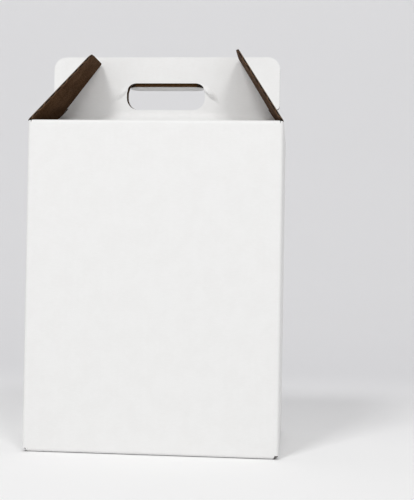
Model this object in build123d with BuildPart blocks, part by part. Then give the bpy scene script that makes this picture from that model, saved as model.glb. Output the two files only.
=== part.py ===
"""Six-bottle wine carrier.

A die-cut corrugated carton, folded from one sheet: four walls and a snap-lock bottom, two
shallow roof panels that turn up into a double handle, and two slotted side flaps that
lean in over the roof so that the ends of the handle stand through their slots. The panels
and flaps part from the walls at their creases. Three interlocking boards inside make six
bottle cells. Millimetres, +Z up, +Y to the back, origin on the floor under the middle of
the carton.
"""

import math
import os

from build123d import *

# Driving dimensions of the carton
WIDTH = 279.0  # outside, across three bottles
DEPTH = 186.0  # outside, across two bottles
WALL_HEIGHT = 362.0  # floor to the top creases
BOARD = 3.0  # single-wall corrugated board
CREASE_RADIUS = 3.6  # outside of a fold
LAYER_GAP = 0.3  # air between boards that lie on each other
FOLD_ROOM = 12.0  # how far a folded panel's profile runs into its wall

# Roof and handle
ROOF_PITCH = 7.0  # degrees
BEND_RADIUS = 15.5  # middle of the board, where the roof turns up into the handle
HANDLE_HEIGHT = 86.0  # top creases to the top of the handle
HANDLE_GAP = 0.6  # between the front and back handle boards
HANDLE_INSET = 6.6  # end of the handle to the carton's side
HANDLE_CORNER = 14.0
EAR_FOOT = 25.0  # top creases to the lower edge of the handle's ends
EAR_FOOT_CORNER = 4.0

# Hand hole and its two push-in tabs
HAND_WIDTH = 92.0
HAND_FOOT = 24.2  # top creases to the lower edge of the hole
HAND_TOP = 55.5  # top creases to the upper edge in the front board
HAND_CORNER = 14.0  # lower corners of the hole
HAND_TOP_CORNER = 5.0
TAB_REACH = 29.0  # length of a tab from its board
TAB_KERF = 2.0  # hole to the side of a tab
TAB_LINER = 1.0  # board left uncut at a tab's hinge
TAB_GROOVE = 1.2  # opening of the cut score above a tab

# Side flaps
FLAP_LENGTH = 100.5
FLAP_TIP_DEPTH = 114.0  # front to back at the free edge
FLAP_CORNER = 10.0
FLAP_SIDE_CLEARANCE = 1.0
LEFT_LEAN = 37.5  # degrees inwards from upright
RIGHT_LEAN = 31.5  # degrees
FLAP_SLOT_WIDTH = 10.0
FLAP_SLOT_ROOT = 23.5  # crease to the bottom of the slot
FLAP_SLOT_MOUTH = 3.0  # rounding at the open end of the slot
FLAP_SEAT = 0.2  # gap along the mitred crease
ROOF_CLEARANCE = 0.7  # between the roof's sloping ends and a flap

# Snap-lock bottom
FLOOR_RAMP = 14.0  # run over which an inner flap rises to its layer
RAMP_RADIUS = 12.0
FRONT_FLAP_SETBACK = 10.0  # edge of the front flap to the middle of the carton
BACK_FLAP_OVERLAP = 19.0  # back flap past the middle
SIDE_FLAP_SETBACK = 15.5  # tip of a side flap to the side of the tongue
FLOOR_CORNER = 8.0
FLAP_RELIEF = 4.2  # end of a bottom flap's crease to the corner of the carton
FLAP_TAPER = 14.0  # front and back bottom flaps narrow by this at each end
TAPER_RUN = 24.0  # over this length from their creases
SIDE_CREASE_RELIEF = 6.0  # end of a side flap's crease to the corner of the carton
SIDE_SHOULDER_RELIEF = 27.0  # where that flap has risen to its layer
SIDE_FLAP_TIP = 76.0  # front to back at the tip
TONGUE_WIDTH = 80.0
TONGUE_OVERLAP = 20.0  # tongue past the edge of the back flap's notch
NOTCH_CLEARANCE = 4.0
NOTCH_DEPTH = 47.0

# Glued joint inside the back left corner
GLUE_TAB_WIDTH = 35.0
GLUE_TAB_TAPER = 12.0

# Bottle divider
DIVIDER_BOARD = 3.0
DIVIDER_HEIGHT = 250.0
DIVIDER_END_GAP = 1.0
DIVIDER_FIT = 0.6  # slot width over board thickness
DIVIDER_SEAT = 0.2
DIVIDER_LAP_GAP = 1.0  # at the bottom of each half-lap
COLUMNS = 3

# Worked out from the sizes above
LAYER = BOARD + LAYER_GAP
MID_RADIUS = CREASE_RADIUS - BOARD / 2
HANDLE_FRONT = HANDLE_GAP / 2 + BOARD
FLOOR_TOP = 2 * LAYER + BOARD
TOP = WALL_HEIGHT + HANDLE_HEIGHT
FRONT_MID = -DEPTH / 2 + BOARD / 2
STEEPEST_LEAN = max(LEFT_LEAN, RIGHT_LEAN)
PANEL_FOOT = WALL_HEIGHT - FOLD_ROOM / 2  # where the handle panels' folds meet the walls


def flap_plane(side, lean):
    """Outer face of a side flap: v runs up the flap from its crease, the normal points out."""
    tilt = math.radians(lean)
    up = Vector(-side * math.sin(tilt), 0, math.cos(tilt))
    out = Vector(side * math.cos(tilt), 0, math.sin(tilt))
    return Plane(origin=(side * WIDTH / 2, 0, WALL_HEIGHT), x_dir=up.cross(out), z_dir=out)


def mitre_plane(side, lean):
    """Plane that halves the fold between a side wall and its flap, with its normal on the flap's side."""
    half = math.radians(lean / 2)
    normal = Vector(-side * math.sin(half), 0, math.cos(half))
    return Plane(origin=(side * WIDTH / 2, 0, WALL_HEIGHT), x_dir=(0, 1, 0), z_dir=normal)


def roof_end_tool(side):
    """Space that a side flap needs below the ends of the handle."""
    face = flap_plane(side, STEEPEST_LEAN).offset(-BOARD - ROOF_CLEARANCE)
    with BuildPart() as tool:
        with BuildSketch(face):
            Rectangle(DEPTH, 2 * HANDLE_HEIGHT)
        extrude(amount=HANDLE_HEIGHT)
        split(bisect_by=Plane.XY.offset(WALL_HEIGHT + EAR_FOOT), keep=Keep.BOTTOM)
    return tool.part


def top_half(hand_top, tab_start, tab_way, liner_mid):
    """Roof panel and handle board of the front half, folded on from the front wall.

    The tab of the hand hole starts at tab_start and is pushed flat along tab_way (1 to the
    back, -1 to the front); the liner at liner_mid still holds it above its cut score.
    """
    handle_mid = -HANDLE_GAP / 2 - BOARD / 2
    roof_start = WALL_HEIGHT - BOARD / 2
    roof_rise = (handle_mid - FRONT_MID) * math.tan(math.radians(ROOF_PITCH))
    hand_height = hand_top - HAND_FOOT
    tab_top = WALL_HEIGHT + hand_top - TAB_GROOVE
    tab_width = HAND_WIDTH - 2 * TAB_KERF
    ear_foot = WALL_HEIGHT + EAR_FOOT
    with BuildPart() as half:
        with BuildSketch(Plane.YZ):
            with BuildLine():
                FilletPolyline(
                    (FRONT_MID, PANEL_FOOT),
                    (FRONT_MID, roof_start),
                    (handle_mid, roof_start + roof_rise),
                    (handle_mid, TOP),
                    radius=[MID_RADIUS, BEND_RADIUS],
                )
            trace(line_width=BOARD)
        extrude(amount=WIDTH / 2 - CREASE_RADIUS, both=True)
        with BuildSketch(Plane.XZ):
            with Locations((0, WALL_HEIGHT)):
                Rectangle(WIDTH, 2 * EAR_FOOT)
            with Locations((0, WALL_HEIGHT + HANDLE_HEIGHT / 2)):
                RectangleRounded(WIDTH - 2 * HANDLE_INSET, HANDLE_HEIGHT, HANDLE_CORNER)
        extrude(amount=DEPTH, both=True, mode=Mode.INTERSECT)
        for side in (-1, 1):
            add(roof_end_tool(side), mode=Mode.SUBTRACT)
        feet = edges().filter_by(Axis.Y).filter_by_position(Axis.Z, ear_foot - BOARD, ear_foot + BOARD)
        outer = WIDTH / 2 - HANDLE_INSET - BOARD
        fillet(feet.filter_by(lambda edge: abs(edge.center().X) > outer), radius=EAR_FOOT_CORNER)
        with BuildSketch(Plane.XZ):
            with Locations((0, WALL_HEIGHT + HAND_FOOT + hand_height / 2)):
                Rectangle(HAND_WIDTH, hand_height)
            fillet(vertices().group_by(Axis.Y)[0], radius=HAND_CORNER)
            fillet(vertices().group_by(Axis.Y)[-1], radius=HAND_TOP_CORNER)
        extrude(amount=DEPTH, both=True, mode=Mode.SUBTRACT)
        with BuildSketch(Plane.XY.offset(tab_top - BOARD)):
            with Locations((0, tab_start + tab_way * TAB_REACH / 2)):
                Rectangle(tab_width, TAB_REACH)
            fillet(vertices().sort_by(Axis.Y)[::tab_way][-2:], radius=HAND_CORNER)
        extrude(amount=BOARD)
        with BuildSketch(Plane.XY.offset(tab_top - BOARD)):
            with Locations((0, liner_mid)):
                Rectangle(tab_width - 2 * HAND_CORNER, TAB_LINER)
        extrude(amount=2 * BOARD)
    return half.part


def bottom_flap(crease, path, radii, half_length, outline, notch):
    """A bottom flap folded in from a wall: path is its side view in the plane crease, outline its plan.

    The plan is a list of corners; notch, if there is one, is a list of the corners of a cut-out.
    """
    with BuildPart() as flap:
        with BuildSketch(crease):
            with BuildLine():
                FilletPolyline(*path, radius=radii)
            trace(line_width=BOARD)
        extrude(amount=half_length, both=True)
        with BuildSketch():
            with BuildLine():
                Polyline(*outline, close=True)
            make_face()
            if notch:
                with BuildLine():
                    Polyline(*notch, close=True)
                make_face(mode=Mode.SUBTRACT)
        extrude(amount=4 * FOLD_ROOM, both=True, mode=Mode.INTERSECT)
    return flap.part


def side_flap(side, lean):
    """A slotted side flap at rest, mitred along its crease."""
    base = DEPTH / 2 - FLAP_SIDE_CLEARANCE
    tip = FLAP_TIP_DEPTH / 2
    slot_length = FLAP_LENGTH - FLAP_SLOT_ROOT
    with BuildPart() as flap:
        with BuildSketch(flap_plane(side, lean)):
            with BuildLine():
                Polyline((-base, 0), (base, 0), (tip, FLAP_LENGTH), (-tip, FLAP_LENGTH), close=True)
            make_face()
            fillet(vertices().group_by(Axis.Y)[-1], radius=FLAP_CORNER)
            with Locations((0, FLAP_SLOT_ROOT + slot_length)):
                SlotOverall(2 * slot_length, FLAP_SLOT_WIDTH, rotation=90, mode=Mode.SUBTRACT)
            mouth = vertices().group_by(Axis.Y)[-1].filter_by_position(Axis.X, -FLAP_SLOT_WIDTH, FLAP_SLOT_WIDTH)
            fillet(mouth, radius=FLAP_SLOT_MOUTH)
        extrude(amount=-BOARD)
        split(bisect_by=mitre_plane(side, lean).offset(FLAP_SEAT), keep=Keep.TOP)
    return flap.part


# Plan of the snap-lock bottom: the back flap lies innermost, the side flaps under it, the front flap outermost
wide = WIDTH / 2 - FLAP_RELIEF
front_tip = -FRONT_FLAP_SETBACK
back_tip = -BACK_FLAP_OVERLAP
tongue = TONGUE_WIDTH / 2
side_tip = tongue + SIDE_FLAP_SETBACK
side_crease = DEPTH / 2 - SIDE_CREASE_RELIEF
side_shoulder_half = DEPTH / 2 - SIDE_SHOULDER_RELIEF
notch_side = tongue + NOTCH_CLEARANCE
notch_root = back_tip + NOTCH_DEPTH
tongue_tip = notch_root + TONGUE_OVERLAP
narrow = wide - FLAP_TAPER
side_shoulder = WIDTH / 2 - BOARD - FLOOR_RAMP
mid = BOARD / 2
high = mid + 3 * LAYER

front_floor = bottom_flap(
    Plane.YZ,
    [(FRONT_MID, FOLD_ROOM), (FRONT_MID, mid), (front_tip, mid)],
    MID_RADIUS,
    wide,
    [
        (-wide, -DEPTH / 2),
        (wide, -DEPTH / 2),
        (narrow, -DEPTH / 2 + TAPER_RUN),
        (narrow, front_tip),
        (-narrow, front_tip),
        (-narrow, -DEPTH / 2 + TAPER_RUN),
    ],
    [],
)
tongue_floor = bottom_flap(
    Plane.YZ,
    [
        (front_tip - FOLD_ROOM, mid),
        (front_tip, mid),
        (notch_root - BOARD, high),
        (tongue_tip, high),
    ],
    RAMP_RADIUS,
    tongue,
    [
        (-tongue, front_tip - FOLD_ROOM),
        (tongue, front_tip - FOLD_ROOM),
        (tongue, notch_root),
        (tongue - FLOOR_CORNER, tongue_tip),
        (FLOOR_CORNER - tongue, tongue_tip),
        (-tongue, notch_root),
    ],
    [],
)
back_floor = bottom_flap(
    Plane.YZ,
    [
        (-FRONT_MID, FOLD_ROOM),
        (-FRONT_MID, mid),
        (-FRONT_MID - FLOOR_RAMP, mid + 2 * LAYER),
        (back_tip, mid + 2 * LAYER),
    ],
    [MID_RADIUS, RAMP_RADIUS],
    wide,
    [
        (-wide, DEPTH / 2),
        (wide, DEPTH / 2),
        (narrow, DEPTH / 2 - TAPER_RUN),
        (narrow, back_tip),
        (-narrow, back_tip),
        (-narrow, DEPTH / 2 - TAPER_RUN),
    ],
    [
        (-notch_side - FLOOR_CORNER, back_tip),
        (-notch_side, back_tip + FLOOR_CORNER),
        (-notch_side, notch_root),
        (notch_side, notch_root),
        (notch_side, back_tip + FLOOR_CORNER),
        (notch_side + FLOOR_CORNER, back_tip),
    ],
)
right_floor = bottom_flap(
    Plane.XZ,
    [
        (WIDTH / 2 - mid, FOLD_ROOM),
        (WIDTH / 2 - mid, mid),
        (WIDTH / 2 - mid - FLOOR_RAMP, mid + LAYER),
        (side_tip, mid + LAYER),
    ],
    [MID_RADIUS, RAMP_RADIUS],
    side_crease,
    [
        (WIDTH / 2, -side_crease),
        (WIDTH / 2, side_crease),
        (side_shoulder, side_shoulder_half),
        (side_tip, SIDE_FLAP_TIP / 2),
        (side_tip, -SIDE_FLAP_TIP / 2),
        (side_shoulder, -side_shoulder_half),
    ],
    [],
)

with BuildPart() as carton:
    with BuildSketch(Plane.XY.offset(CREASE_RADIUS)):
        RectangleRounded(WIDTH, DEPTH, CREASE_RADIUS)
        RectangleRounded(WIDTH - 2 * BOARD, DEPTH - 2 * BOARD, CREASE_RADIUS - BOARD, mode=Mode.SUBTRACT)
    extrude(amount=WALL_HEIGHT - CREASE_RADIUS)
    # The front and back walls stop where their handle panels fold on
    with BuildSketch(Plane.XY.offset(PANEL_FOOT)):
        Rectangle(WIDTH - 2 * CREASE_RADIUS, DEPTH)
    extrude(amount=FOLD_ROOM, mode=Mode.SUBTRACT)
    # The side walls are mitred for the flaps' folds
    for side, lean in ((-1, LEFT_LEAN), (1, RIGHT_LEAN)):
        with BuildSketch(mitre_plane(side, lean)):
            Rectangle(DEPTH, 2 * CREASE_RADIUS)
        extrude(amount=FOLD_ROOM, mode=Mode.SUBTRACT)
    add(front_floor)
    add(tongue_floor)
    add(back_floor)
    add(right_floor)
    add(mirror(right_floor, about=Plane.YZ))
    # Glue tab of the back wall, stuck inside the left wall
    with BuildSketch(Plane.YZ.offset(-WIDTH / 2 + BOARD)):
        with BuildLine():
            Polyline(
                (DEPTH / 2 - BOARD, 2 * FOLD_ROOM),
                (DEPTH / 2 - BOARD, WALL_HEIGHT - 2 * FOLD_ROOM),
                (DEPTH / 2 - BOARD - GLUE_TAB_WIDTH, WALL_HEIGHT - 2 * FOLD_ROOM - GLUE_TAB_TAPER),
                (DEPTH / 2 - BOARD - GLUE_TAB_WIDTH, 2 * FOLD_ROOM + GLUE_TAB_TAPER),
                close=True,
            )
        make_face()
    extrude(amount=BOARD)

# Each panel is the roof and the handle board of one half; the front tab goes back through both holes
with BuildPart() as front_handle_panel:
    add(top_half(HAND_TOP, -HANDLE_FRONT, 1, -HANDLE_GAP / 2 - TAB_LINER / 2))

with BuildPart() as back_handle_panel:
    add(top_half(HAND_TOP + LAYER, -HANDLE_FRONT, -1, -HANDLE_FRONT + TAB_LINER / 2))
    mirror(about=Plane.XZ, mode=Mode.REPLACE)

with BuildPart() as left_side_flap:
    add(side_flap(-1, LEFT_LEAN))

with BuildPart() as right_side_flap:
    add(side_flap(1, RIGHT_LEAN))

# Divider boards, slotted into each other at half height
divider_foot = FLOOR_TOP + DIVIDER_SEAT
divider_middle = divider_foot + DIVIDER_HEIGHT / 2
pitch = (WIDTH - 2 * BOARD) / COLUMNS
slot = DIVIDER_BOARD + DIVIDER_FIT
lap = DIVIDER_HEIGHT / 2 + DIVIDER_LAP_GAP
long_length = WIDTH - 2 * BOARD - 2 * DIVIDER_END_GAP
cross_length = DEPTH - 2 * BOARD - 2 * DIVIDER_END_GAP

with BuildPart() as long_divider:
    with BuildSketch(Plane.XZ):
        with Locations((0, divider_middle)):
            Rectangle(long_length, DIVIDER_HEIGHT)
        with Locations(
            (-pitch / 2, divider_foot + DIVIDER_HEIGHT - lap / 2),
            (pitch / 2, divider_foot + DIVIDER_HEIGHT - lap / 2),
        ):
            Rectangle(slot, lap, mode=Mode.SUBTRACT)
    extrude(amount=DIVIDER_BOARD / 2, both=True)

with BuildPart() as left_cross_divider:
    with BuildSketch(Plane.YZ.offset(-pitch / 2)):
        with Locations((0, divider_middle)):
            Rectangle(cross_length, DIVIDER_HEIGHT)
        with Locations((0, divider_foot + lap / 2)):
            Rectangle(slot, lap, mode=Mode.SUBTRACT)
    extrude(amount=DIVIDER_BOARD / 2, both=True)

with BuildPart() as right_cross_divider:
    add(mirror(left_cross_divider.part, about=Plane.YZ, mode=Mode.PRIVATE))

os.makedirs("parts", exist_ok=True)
carton.part.label = "carton"
front_handle_panel.part.label = "front_handle_panel"
back_handle_panel.part.label = "back_handle_panel"
left_side_flap.part.label = "left_side_flap"
right_side_flap.part.label = "right_side_flap"
long_divider.part.label = "long_divider"
left_cross_divider.part.label = "left_cross_divider"
right_cross_divider.part.label = "right_cross_divider"
export_step(carton.part, "parts/carton.step")
export_step(front_handle_panel.part, "parts/front_handle_panel.step")
export_step(back_handle_panel.part, "parts/back_handle_panel.step")
export_step(left_side_flap.part, "parts/left_side_flap.step")
export_step(right_side_flap.part, "parts/right_side_flap.step")
export_step(long_divider.part, "parts/long_divider.step")
export_step(left_cross_divider.part, "parts/left_cross_divider.step")
export_step(right_cross_divider.part, "parts/right_cross_divider.step")
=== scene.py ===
"""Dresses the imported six-cell carrier: folded white-faced board, brown inside, on a pale studio floor.

The board pieces are cut flat as they are on a die, with their holes and slots, then folded
along their creases and given their thickness, so that the liners, the fluted cut edges and
the flute direction follow the real sheet. Metres, in the frame's own axes.
"""

import logging
import math
from dataclasses import dataclass, field
from enum import Enum
from typing import Callable, Optional

import bmesh
import bpy
from mathutils import Matrix, Vector


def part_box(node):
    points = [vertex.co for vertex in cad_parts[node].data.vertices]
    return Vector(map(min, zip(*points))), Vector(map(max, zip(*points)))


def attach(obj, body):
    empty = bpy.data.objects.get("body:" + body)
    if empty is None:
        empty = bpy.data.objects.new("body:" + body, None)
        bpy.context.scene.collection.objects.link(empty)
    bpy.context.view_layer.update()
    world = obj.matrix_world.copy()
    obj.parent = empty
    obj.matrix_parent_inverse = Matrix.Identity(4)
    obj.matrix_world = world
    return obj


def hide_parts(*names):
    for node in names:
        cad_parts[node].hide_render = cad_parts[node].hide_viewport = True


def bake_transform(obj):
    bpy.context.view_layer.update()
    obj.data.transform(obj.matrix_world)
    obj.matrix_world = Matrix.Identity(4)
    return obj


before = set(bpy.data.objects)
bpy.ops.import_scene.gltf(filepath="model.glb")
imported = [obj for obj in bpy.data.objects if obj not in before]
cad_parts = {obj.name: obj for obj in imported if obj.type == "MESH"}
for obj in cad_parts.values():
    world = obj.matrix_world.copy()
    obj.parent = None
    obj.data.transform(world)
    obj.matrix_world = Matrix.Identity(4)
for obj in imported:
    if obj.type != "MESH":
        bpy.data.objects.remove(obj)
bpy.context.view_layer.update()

LOG = logging.getLogger("carrier")
ARC_STEPS = 6
CORNER_STEPS = 7
HALVINGS = 40
WELD = 1e-6
SHARP = math.radians(35)
FLAT_UV = "flat_sheet"
ACROSS = "across_board"
ACROSS_VALUE = ACROSS + "_value"

Place = tuple[float, float, float]
Colour = tuple[float, float, float, float]
Sockets = bpy.types.bpy_prop_collection
Finishes = tuple[bpy.types.Material, bpy.types.Material, bpy.types.Material]


class Wall(Enum):
    """Walls of the carton, by the run of the sheet's plan line that each one is."""

    LEFT = 0
    FRONT = 2
    RIGHT = 4
    BACK = 6


PANEL_WALLS = (Wall.FRONT, Wall.BACK)
PANEL_CREASE, PANEL_ROOF, PANEL_BEND = 1, 2, 3
GLUE_FOLD = 7


class Side(Enum):
    """Sides of the carton, by the sign of X."""

    LEFT = -1
    RIGHT = 1


LEANS = {Side.LEFT: math.radians(37.5), Side.RIGHT: math.radians(31.5)}


def spaced(start: float, length: float, count: int) -> list[float]:
    """Evenly spaced places along a length, from its start, without its end."""
    return [start + length * i / count for i in range(count)]


def spread(half: float, count: int) -> list[float]:
    """Evenly spaced places to both sides of a middle, without the two ends."""
    return [half * i / count for i in range(1 - count, count)]


@dataclass
class Run:
    """One straight run or arc of a fold line.

    Attributes:
        start: Where the run begins.
        way: Unit direction at its start.
        length: Length along the run.
        turn: Angle that it turns through, counter-clockwise, 0 on a straight run.
        begins: Length of the line before this run.
    """

    start: Vector
    way: Vector
    length: float
    turn: float
    begins: float

    def at(self, distance: float) -> tuple[Vector, Vector]:
        """Point and direction at a distance from the run's start.

        Args:
            distance: Length from the start of this run.

        Returns:
            The point and the unit direction there.
        """
        if not self.turn:
            return self.start + self.way * distance, self.way
        radius = self.length / abs(self.turn)
        angle = self.turn * distance / self.length
        inward = Vector((-self.way.y, self.way.x)) * math.copysign(radius, self.turn)
        point = self.start + inward * (1 - math.cos(angle)) + self.way * radius * math.sin(abs(angle))
        return point, Matrix.Rotation(angle, 2) @ self.way


@dataclass
class FoldLine:
    """Edge view of a folded board: straight runs joined by arcs, measured by flat length.

    Attributes:
        corners: Points where the runs would meet.
        radii: Radius at each inner corner.
    """

    corners: list[tuple[float, float]]
    radii: list[float]
    runs: list[Run] = field(init=False, default_factory=list)

    def __post_init__(self) -> None:
        """Works out the runs from the corners."""
        points = [Vector(corner) for corner in self.corners]
        begin = points[0]
        for index, radius in enumerate(self.radii, start=1):
            into = (points[index] - points[index - 1]).normalized()
            out = (points[index + 1] - points[index]).normalized()
            turn = math.atan2(into.x * out.y - into.y * out.x, into.dot(out))
            reach = radius * math.tan(abs(turn) / 2)
            stop = points[index] - into * reach
            self.add(begin, into, (stop - begin).length, 0.0)
            self.add(stop, into, radius * abs(turn), turn)
            begin = points[index] + out * reach
        last = points[-1] - begin
        self.add(begin, last.normalized(), last.length, 0.0)

    def add(self, start: Vector, way: Vector, length: float, turn: float) -> None:
        """Appends a run, from where it begins, its direction there, its length and its turn."""
        self.runs.append(Run(start, way, length, turn, self.length))

    @property
    def length(self) -> float:
        """Flat length of the whole line."""
        return self.runs[-1].begins + self.runs[-1].length if self.runs else 0.0

    def at(self, distance: float) -> tuple[Vector, Vector]:
        """Point and direction at a flat length from the start."""
        run = next((r for r in reversed(self.runs) if r.begins <= distance), self.runs[0])
        return run.at(distance - run.begins)

    def length_to(self, axis: int, value: float) -> float:
        """Flat length at which the line's last approach reaches a coordinate.

        Args:
            axis: 0 or 1, the coordinate that is looked at.
            value: What that coordinate reaches.

        Returns:
            The flat length from the start.
        """
        low, high = self.runs[1].begins, self.length
        rising = self.at(high)[0][axis] > self.at(low)[0][axis]
        for _ in range(HALVINGS):
            middle = (low + high) / 2
            below = (self.at(middle)[0][axis] < value) == rising
            low, high = (middle, high) if below else (low, middle)
        return (low + high) / 2

    def stations(self, step: float) -> list[float]:
        """Flat lengths where the sheet needs an edge loop to fold well.

        Args:
            step: Longest distance between loops on a straight run.

        Returns:
            Flat lengths, from the start.
        """
        marks = []
        for run in self.runs:
            count = ARC_STEPS if run.turn else max(1, math.ceil(run.length / step))
            marks += spaced(run.begins, run.length, count)
        return marks + [self.length]


Corner = tuple[float, float, float]


def rounded(corners: list[Corner]) -> list[Vector]:
    """Outline with its corners rounded.

    Args:
        corners: Each corner's two coordinates and its radius, 0 where it is sharp.

    Returns:
        The closed outline's points, in order.
    """
    points = []
    for index, (x, y, radius) in enumerate(corners):
        corner = Vector((x, y))
        if not radius:
            points.append(corner)
            continue
        before = (Vector(corners[index - 1][:2]) - corner).normalized()
        after = (Vector(corners[(index + 1) % len(corners)][:2]) - corner).normalized()
        half = before.angle(after) / 2
        centre = corner + (before + after).normalized() * radius / math.sin(half)
        first = (corner + before * radius / math.tan(half) - centre).normalized()
        last = (corner + after * radius / math.tan(half) - centre).normalized()
        for step in range(CORNER_STEPS + 1):
            points.append(centre + first.slerp(last, step / CORNER_STEPS) * radius)
    return points


def mirrored(half: list[Corner]) -> list[Corner]:
    """Both halves of an outline, from the corners of its positive half, middle first."""
    return [(-x, y, radius) for x, y, radius in reversed(half)] + half


@dataclass
class Board:
    """A piece of corrugated board: cut flat, folded by a rule and given its thickness.

    Attributes:
        name: Name of the piece.
        thickness: Board thickness.
        finishes: Materials of the outer liner, the inner liner and the cut edge.
        offset: Where the folded surface lies in the board: 0 in its middle, -1 on its outer liner.
    """

    name: str
    thickness: float
    finishes: Finishes
    offset: float = 0.0

    def cut(self, loops: list[list[Vector]], across: list[float], along: list[float]) -> bmesh.types.BMesh:
        """Cuts the flat sheet and marks the edge loops where it folds.

        Args:
            loops: The outline, then any holes.
            across: Places of the loops that run along the second coordinate.
            along: Places of the loops that run along the first coordinate.

        Returns:
            The flat sheet, facing +Z, with its flat coordinates as a UV map.
        """
        sheet = bmesh.new()
        for loop in loops:
            corners = [sheet.verts.new((point.x, point.y, 0.0)) for point in loop]
            for one, two in zip(corners, corners[1:] + corners[:1]):
                sheet.edges.new((one, two))
        bmesh.ops.remove_doubles(sheet, verts=sheet.verts, dist=WELD)
        bmesh.ops.triangle_fill(sheet, use_beauty=True, edges=sheet.edges, normal=(0, 0, 1))
        for places, normal in ((across, Vector((1, 0, 0))), (along, Vector((0, 1, 0)))):
            for place in places:
                geometry = sheet.verts[:] + sheet.edges[:] + sheet.faces[:]
                point = normal * place
                bmesh.ops.bisect_plane(sheet, geom=geometry, dist=WELD, plane_co=point, plane_no=normal)
        for face in sheet.faces:
            if face.normal.z < 0:
                face.normal_flip()
        layer = sheet.loops.layers.uv.new(FLAT_UV)
        for face in sheet.faces:
            for corner in face.loops:
                corner[layer].uv = corner.vert.co.xy
        return sheet

    def make(self, sheet: bmesh.types.BMesh, fold: Callable[[float, float], Vector]) -> bpy.types.Object:
        """Folds a flat sheet and gives it its thickness, liners and cut edges.

        Args:
            sheet: The flat sheet, which is used up.
            fold: Gives the folded place of a flat point.

        Returns:
            The finished piece, in the scene.
        """
        for vertex in sheet.verts:
            vertex.co = fold(vertex.co.x, vertex.co.y)
        mesh = bpy.data.meshes.new(self.name)
        sheet.to_mesh(mesh)
        sheet.free()
        for finish in self.finishes:
            mesh.materials.append(finish)
        piece = bpy.data.objects.new(self.name, mesh)
        bpy.context.collection.objects.link(piece)
        inner = piece.vertex_groups.new(name=ACROSS)
        wall = piece.modifiers.new("board", "SOLIDIFY")
        wall.thickness = self.thickness
        wall.offset = self.offset
        wall.use_even_offset = True
        wall.material_offset = 1
        wall.material_offset_rim = 2
        wall.shell_vertex_group = inner.name
        graph = bpy.context.evaluated_depsgraph_get()
        solid = bpy.data.meshes.new_from_object(piece.evaluated_get(graph), depsgraph=graph)
        piece.modifiers.clear()
        piece.data = solid
        depth = solid.attributes.new(ACROSS_VALUE, "FLOAT", "POINT")
        for vertex in solid.vertices:
            depth.data[vertex.index].value = sum(group.weight for group in vertex.groups)
        piece.vertex_groups.clear()
        solid.shade_smooth()
        solid.set_sharp_from_angle(angle=SHARP)
        return piece


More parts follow.
